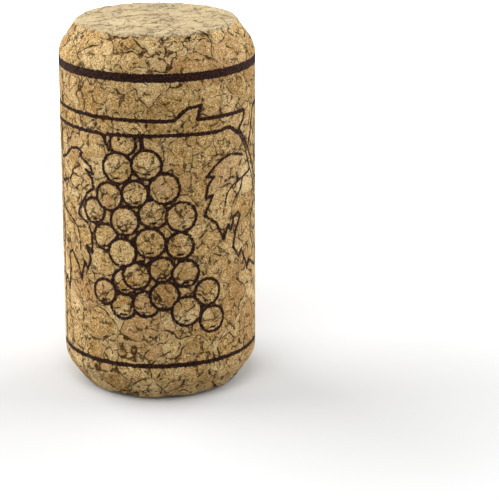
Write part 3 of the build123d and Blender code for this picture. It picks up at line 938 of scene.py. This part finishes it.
    def build(self) -> bpy.types.Object:
        """Make the cork, sink its relief and give it its finish."""
        mesh = self.mesh()
        places = np.empty(len(mesh.vertices) * 3, dtype=np.float32)
        mesh.vertices.foreach_get("co", places)
        places = places.reshape(-1, 3).astype(np.float64) / MM
        ground = mesh.attributes.new("ground", "FLOAT_VECTOR", "POINT")
        ground.data.foreach_set("vector", places.astype(np.float32).ravel())
        gap = np.full(len(places), FAR)
        side = np.hypot(places[:, 0], places[:, 1]) > SIDE_RADIUS - self.print_margin
        gap[side] = self.drawing.gap(places[side])
        ink_gap = mesh.attributes.new("ink_gap", "FLOAT", "POINT")
        ink_gap.data.foreach_set("value", gap.astype(np.float32))
        shift, share = self.hollow_depths(places)
        hollow = mesh.attributes.new("hollow", "FLOAT", "POINT")
        hollow.data.foreach_set("value", share.astype(np.float32))
        mesh.vertices.foreach_set("co", ((places + shift) * MM).astype(np.float32).ravel())

        cork = bpy.data.objects.new("printed_cork", mesh)
        bpy.context.scene.collection.objects.link(cork)
        sink = cork.modifiers.new("relief", "NODES")
        sink.node_group = self.finish.relief()
        depsgraph = bpy.context.evaluated_depsgraph_get()
        finished = bpy.data.meshes.new_from_object(
            cork.evaluated_get(depsgraph), preserve_all_data_layers=True, depsgraph=depsgraph)
        cork.modifiers.clear()
        cork.data = finished
        finished.materials.clear()
        finished.materials.append(self.finish.material())
        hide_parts("cork_body", "frame_lines", "vine_print")
        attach(cork, "root")
        LOG.info("cork: %d vertices, %d faces", len(finished.vertices), len(finished.polygons))
        return cork


@dataclass(frozen=True)
class Lamp:
    """Square soft lamp: its place and its side in metres, and its light in watts."""

    name: str
    place: Tuple[float, float, float]
    size: float
    power: float


@dataclass
class Studio:
    """Pale sweep, soft lamps and the camera."""

    ambient: float = 0.5
    paper: str = "#b9b9b9"
    floor_half: float = 1.6
    # the floor's own light, and from where to where round the cork it rises to full white
    floor_lift: float = 0.02
    white_from: float = 0.03
    white_to: float = 0.16
    lamps: List[Lamp] = field(default_factory=lambda: [
        Lamp("left_window", (-0.44, 0.19, 0.20), 0.60, 6.7),
        Lamp("right_window", (0.44, 0.19, 0.18), 0.60, 4.7),
        Lamp("overhead", (0.0, 0.16, 0.50), 0.35, 0.2),
        Lamp("front_fill", (-0.05, -0.28, 0.48), 0.30, 1.9),
    ])
    image_width: int = 499
    sensor: float = 36.0
    focal_pixels: float = 2146.0
    # the camera's place in radii of the cork, and its angles in degrees
    camera_radii: Tuple[float, float, float] = (0.7646, -21.361, 8.307)
    pitch: float = 18.052
    yaw: float = 0.469
    nearest_seen: float = 0.01

    def floor(self) -> bpy.types.Object:
        """Wide pale floor that shows a soft shadow and fades to full white round it."""
        shape = bmesh.new()
        bmesh.ops.create_grid(shape, x_segments=1, y_segments=1, size=self.floor_half)
        mesh = bpy.data.meshes.new("floor")
        shape.to_mesh(mesh)
        shape.free()
        floor = bpy.data.objects.new("floor", mesh)
        bpy.context.scene.collection.objects.link(floor)
        material = bpy.data.materials.new("matt_white_paper")
        material.use_nodes = True
        tree = material.node_tree
        tree.nodes.clear()
        paper = add(tree, "ShaderNodeBsdfDiffuse", Color=linear(self.paper))
        path = add(tree, "ShaderNodeLightPath")
        place = add(tree, "ShaderNodeTexCoord")
        from_cork = add(tree, "ShaderNodeVectorMath", {"operation": "LENGTH"},
                        _0=place.outputs["Object"])
        white = add(tree, "ShaderNodeMapRange", SMOOTH, Value=from_cork.outputs["Value"],
                    From_Min=self.white_from, From_Max=self.white_to, To_Min=self.floor_lift,
                    To_Max=1.0)
        lift = add(tree, "ShaderNodeMath", TIMES, _0=path.outputs["Is Camera Ray"], _1=white.outputs[0])
        glow = add(tree, "ShaderNodeEmission", Color=(1, 1, 1, 1), Strength=lift.outputs[0])
        both = add(tree, "ShaderNodeAddShader", _0=paper.outputs[0], _1=glow.outputs[0])
        output = add(tree, "ShaderNodeOutputMaterial")
        tree.links.new(both.outputs[0], output.inputs["Surface"])
        mesh.materials.append(material)
        return floor

    def world(self) -> None:
        """Even white surroundings, full white where the camera looks past the floor."""
        world = bpy.data.worlds.new("white_room")
        bpy.context.scene.world = world
        world.use_nodes = True
        tree = world.node_tree
        tree.nodes.clear()
        path = add(tree, "ShaderNodeLightPath")
        seen = add(tree, "ShaderNodeMath", HIGHER, _0=path.outputs["Is Camera Ray"],
                   _1=path.outputs["Is Glossy Ray"])
        strength = add(tree, "ShaderNodeMapRange", Value=seen.outputs[0], To_Min=self.ambient,
                       To_Max=1.0)
        sky = add(tree, "ShaderNodeBackground", Color=(1, 1, 1, 1), Strength=strength.outputs[0])
        output = add(tree, "ShaderNodeOutputWorld")
        tree.links.new(sky.outputs[0], output.inputs["Surface"])

    def hang(self, lamp: Lamp) -> bpy.types.Object:
        """Hang a lamp, turned towards the middle of the cork.

        Args:
            lamp: the lamp's sizes.

        Returns:
            The lamp's object.
        """
        data = bpy.data.lights.new(lamp.name, "AREA")
        data.shape = "SQUARE"
        data.size = lamp.size
        data.energy = lamp.power
        hung = bpy.data.objects.new(lamp.name, data)
        bpy.context.scene.collection.objects.link(hung)
        hung.location = lamp.place
        towards = Vector((0, 0, LENGTH / 2 * MM)) - Vector(lamp.place)
        hung.rotation_euler = towards.to_track_quat("-Z", "Y").to_euler()
        return hung

    def camera(self) -> bpy.types.Object:
        """Camera a quarter of a metre in front, looking down by 18 degrees."""
        data = bpy.data.cameras.new("camera")
        data.sensor_width = self.sensor
        data.lens = self.focal_pixels / self.image_width * self.sensor
        data.clip_start = self.nearest_seen
        camera = bpy.data.objects.new("camera", data)
        bpy.context.scene.collection.objects.link(camera)
        pitch = math.radians(self.pitch)
        yaw = math.radians(self.yaw)
        forward = Vector((math.sin(yaw) * math.cos(pitch), math.cos(yaw) * math.cos(pitch),
                          -math.sin(pitch)))
        camera.location = Vector(self.camera_radii) * SIDE_RADIUS * MM
        camera.rotation_euler = forward.to_track_quat("-Z", "Y").to_euler()
        bpy.context.scene.camera = camera
        return camera

    def build(self) -> None:
        """Set the surroundings, the floor, the lamps and the camera."""
        self.world()
        stage = [self.floor()] + [self.hang(lamp) for lamp in self.lamps]
        self.camera()
        LOG.info("studio: %d stage objects", len(stage))


def main() -> None:
    """Build the cork and the studio round it."""
    Cork().build()
    Studio().build()
    scene = bpy.context.scene
    scene.view_settings.view_transform = "Standard"


if __name__ == "__main__":
    main()
